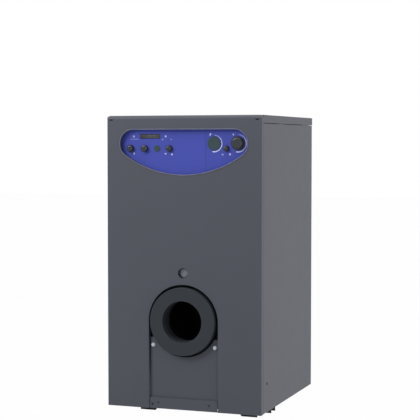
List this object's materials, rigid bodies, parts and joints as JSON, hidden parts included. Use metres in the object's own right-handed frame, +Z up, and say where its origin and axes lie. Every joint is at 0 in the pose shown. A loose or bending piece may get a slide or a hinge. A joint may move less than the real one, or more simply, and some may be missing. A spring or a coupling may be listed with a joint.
{
  "type": "oil-fired boiler",
  "caption": "Floor-standing oil-fired boiler: grey sheet casing, recessed blue control fascia, cast-iron sections and a round burner boss in an arch.",
  "frame": {"origin": "on the floor, under the middle of the overall footprint, pipes and burner boss included", "axes": "+Z up, +Y towards the back, so the controls face -Y; +X to the right seen from the front"},
  "size_m": [0.456, 0.57, 0.85],
  "materials": {
    "casing_paint": "satin grey powder coat",
    "door_paint": "matt dark grey stove paint",
    "bezel_plastic": "satin dark grey",
    "fascia_blue": "satin blue",
    "knob_black": "glossy black",
    "plug_grey": "matt dark grey-green",
    "gauge_case": "matt black",
    "gauge_scale": "matt dark grey",
    "pointer_red": "red",
    "gauge_glass": "clear",
    "screw_white": "pale zinc",
    "zinc_steel": "zinc plated",
    "galvanised": "galvanised sheet",
    "base_black": "matt dark grey",
    "cast_iron": "raw casting, primed",
    "fibre_board": "ceramic fibre",
    "glass_rope": "woven glass rope",
    "sight_glass": "grey heat-proof glass",
    "pipe_steel": "black steel tube",
    "brass": "machined",
    "copper": "drawn copper",
    "lever_black": "matt black",
    "nylon": "natural nylon",
    "terminal_grey": "grey",
    "instrument_case": "dark moulded case",
    "foil": "foil-faced mineral wool"
  },
  "bodies": {
    "boiler": {"front_panel_clips": "nylon", "burner_cover_plate": "casing_paint", "cover_plate_screws": "screw_white", "cover_plate_posts": "zinc_steel", "right_side_panel": "casing_paint", "left_side_panel": "casing_paint", "rear_panel": "galvanised", "base_front_rail": "base_black", "base_rear_rail": "base_black", "base_side_channels": "base_black", "front_section": "cast_iron", "middle_section_1": "cast_iron", "middle_section_2": "cast_iron", "middle_section_3": "cast_iron", "rear_section": "cast_iron", "section_nipples": "zinc_steel", "tie_rods": "zinc_steel", "hexagon_nuts": "zinc_steel", "header_plugs": "zinc_steel", "burner_door": "door_paint", "door_gasket": "glass_rope", "door_insulation": "fibre_board", "door_studs": "zinc_steel", "sight_glass_holder": "casing_paint", "sight_glass": "sight_glass", "smoke_hood": "cast_iron", "flue_collar": "cast_iron", "flue_baffles": "galvanised", "flow_pipe": "pipe_steel", "return_pipe": "pipe_steel", "drain_cock_body": "brass", "bulb_pocket": "brass", "body_insulation": "foil", "control_tray": "galvanised", "control_fascia_left": "fascia_blue", "control_fascia_right": "fascia_blue", "cable_glands": "instrument_case", "terminal_block": "terminal_grey", "thermostat_body": "instrument_case", "switch_bodies": "instrument_case", "limit_thermostat_body": "instrument_case", "small_blanking_plug": "plug_grey", "large_blanking_plug": "plug_grey", "thermometer_housing": "gauge_case", "thermometer_scale": "gauge_scale", "thermometer_window": "gauge_glass", "capillary_tubes": "copper"},
    "front_panel": {"front_panel": "casing_paint", "control_bezel": "bezel_plastic", "front_panel_studs": "zinc_steel"},
    "top_cover": {"top_cover": "casing_paint", "top_cover_pins": "zinc_steel"},
    "thermostat_knob": {"thermostat_knob": "knob_black"},
    "main_switch_knob": {"main_switch_knob": "knob_black"},
    "season_selector_knob": {"season_selector_knob": "knob_black"},
    "small_selector_knob": {"small_selector_knob": "knob_black"},
    "limit_cap": {"limit_cap": "knob_black"},
    "limit_reset_button": {"limit_reset_button": "pointer_red"},
    "thermometer_pointer": {"thermometer_pointer": "pointer_red"},
    "drain_cock_lever": {"drain_cock_lever": "lever_black"}
  },
  "joints": [
    {"name": "front_panel_pull", "type": "slide", "parent": "boiler", "child": "front_panel", "axis": [0, -1, 0], "range_m": [0, 0.12]},
    {"name": "top_cover_lift", "type": "slide", "parent": "boiler", "child": "top_cover", "axis": [0, 0, 1], "range_m": [0, 0.06]},
    {"name": "thermostat_turn", "type": "hinge", "parent": "boiler", "child": "thermostat_knob", "pos_m": [0.156, -0.262, 0.773], "axis": [0, 1, 0], "range_deg": [0, 190]},
    {"name": "main_switch_turn", "type": "hinge", "parent": "boiler", "child": "main_switch_knob", "pos_m": [-0.161, -0.262, 0.7585], "axis": [0, 1, 0], "range_deg": [0, 90]},
    {"name": "season_selector_turn", "type": "hinge", "parent": "boiler", "child": "season_selector_knob", "pos_m": [-0.0445, -0.262, 0.7585], "axis": [0, 1, 0], "range_deg": [-60, 60]},
    {"name": "small_selector_turn", "type": "hinge", "parent": "boiler", "child": "small_selector_knob", "pos_m": [0.123, -0.262, 0.7585], "axis": [0, 1, 0], "range_deg": [-45, 45]},
    {"name": "limit_cap_off", "type": "slide", "parent": "boiler", "child": "limit_cap", "axis": [0, -1, 0], "range_m": [0, 0.03]},
    {"name": "reset_button_press", "type": "slide", "parent": "boiler", "child": "limit_reset_button", "axis": [0, 1, 0], "range_m": [0, 0.002], "stiffness_N_per_m": 400},
    {"name": "thermometer_pointer_travel", "type": "slide", "parent": "boiler", "child": "thermometer_pointer", "axis": [1, 0, 0], "range_m": [0, 0.045]},
    {"name": "drain_cock_turn", "type": "hinge", "parent": "boiler", "child": "drain_cock_lever", "pos_m": [0.066, 0.253, 0.175], "axis": [0, 0, 1], "range_deg": [0, 90]}
  ]
}
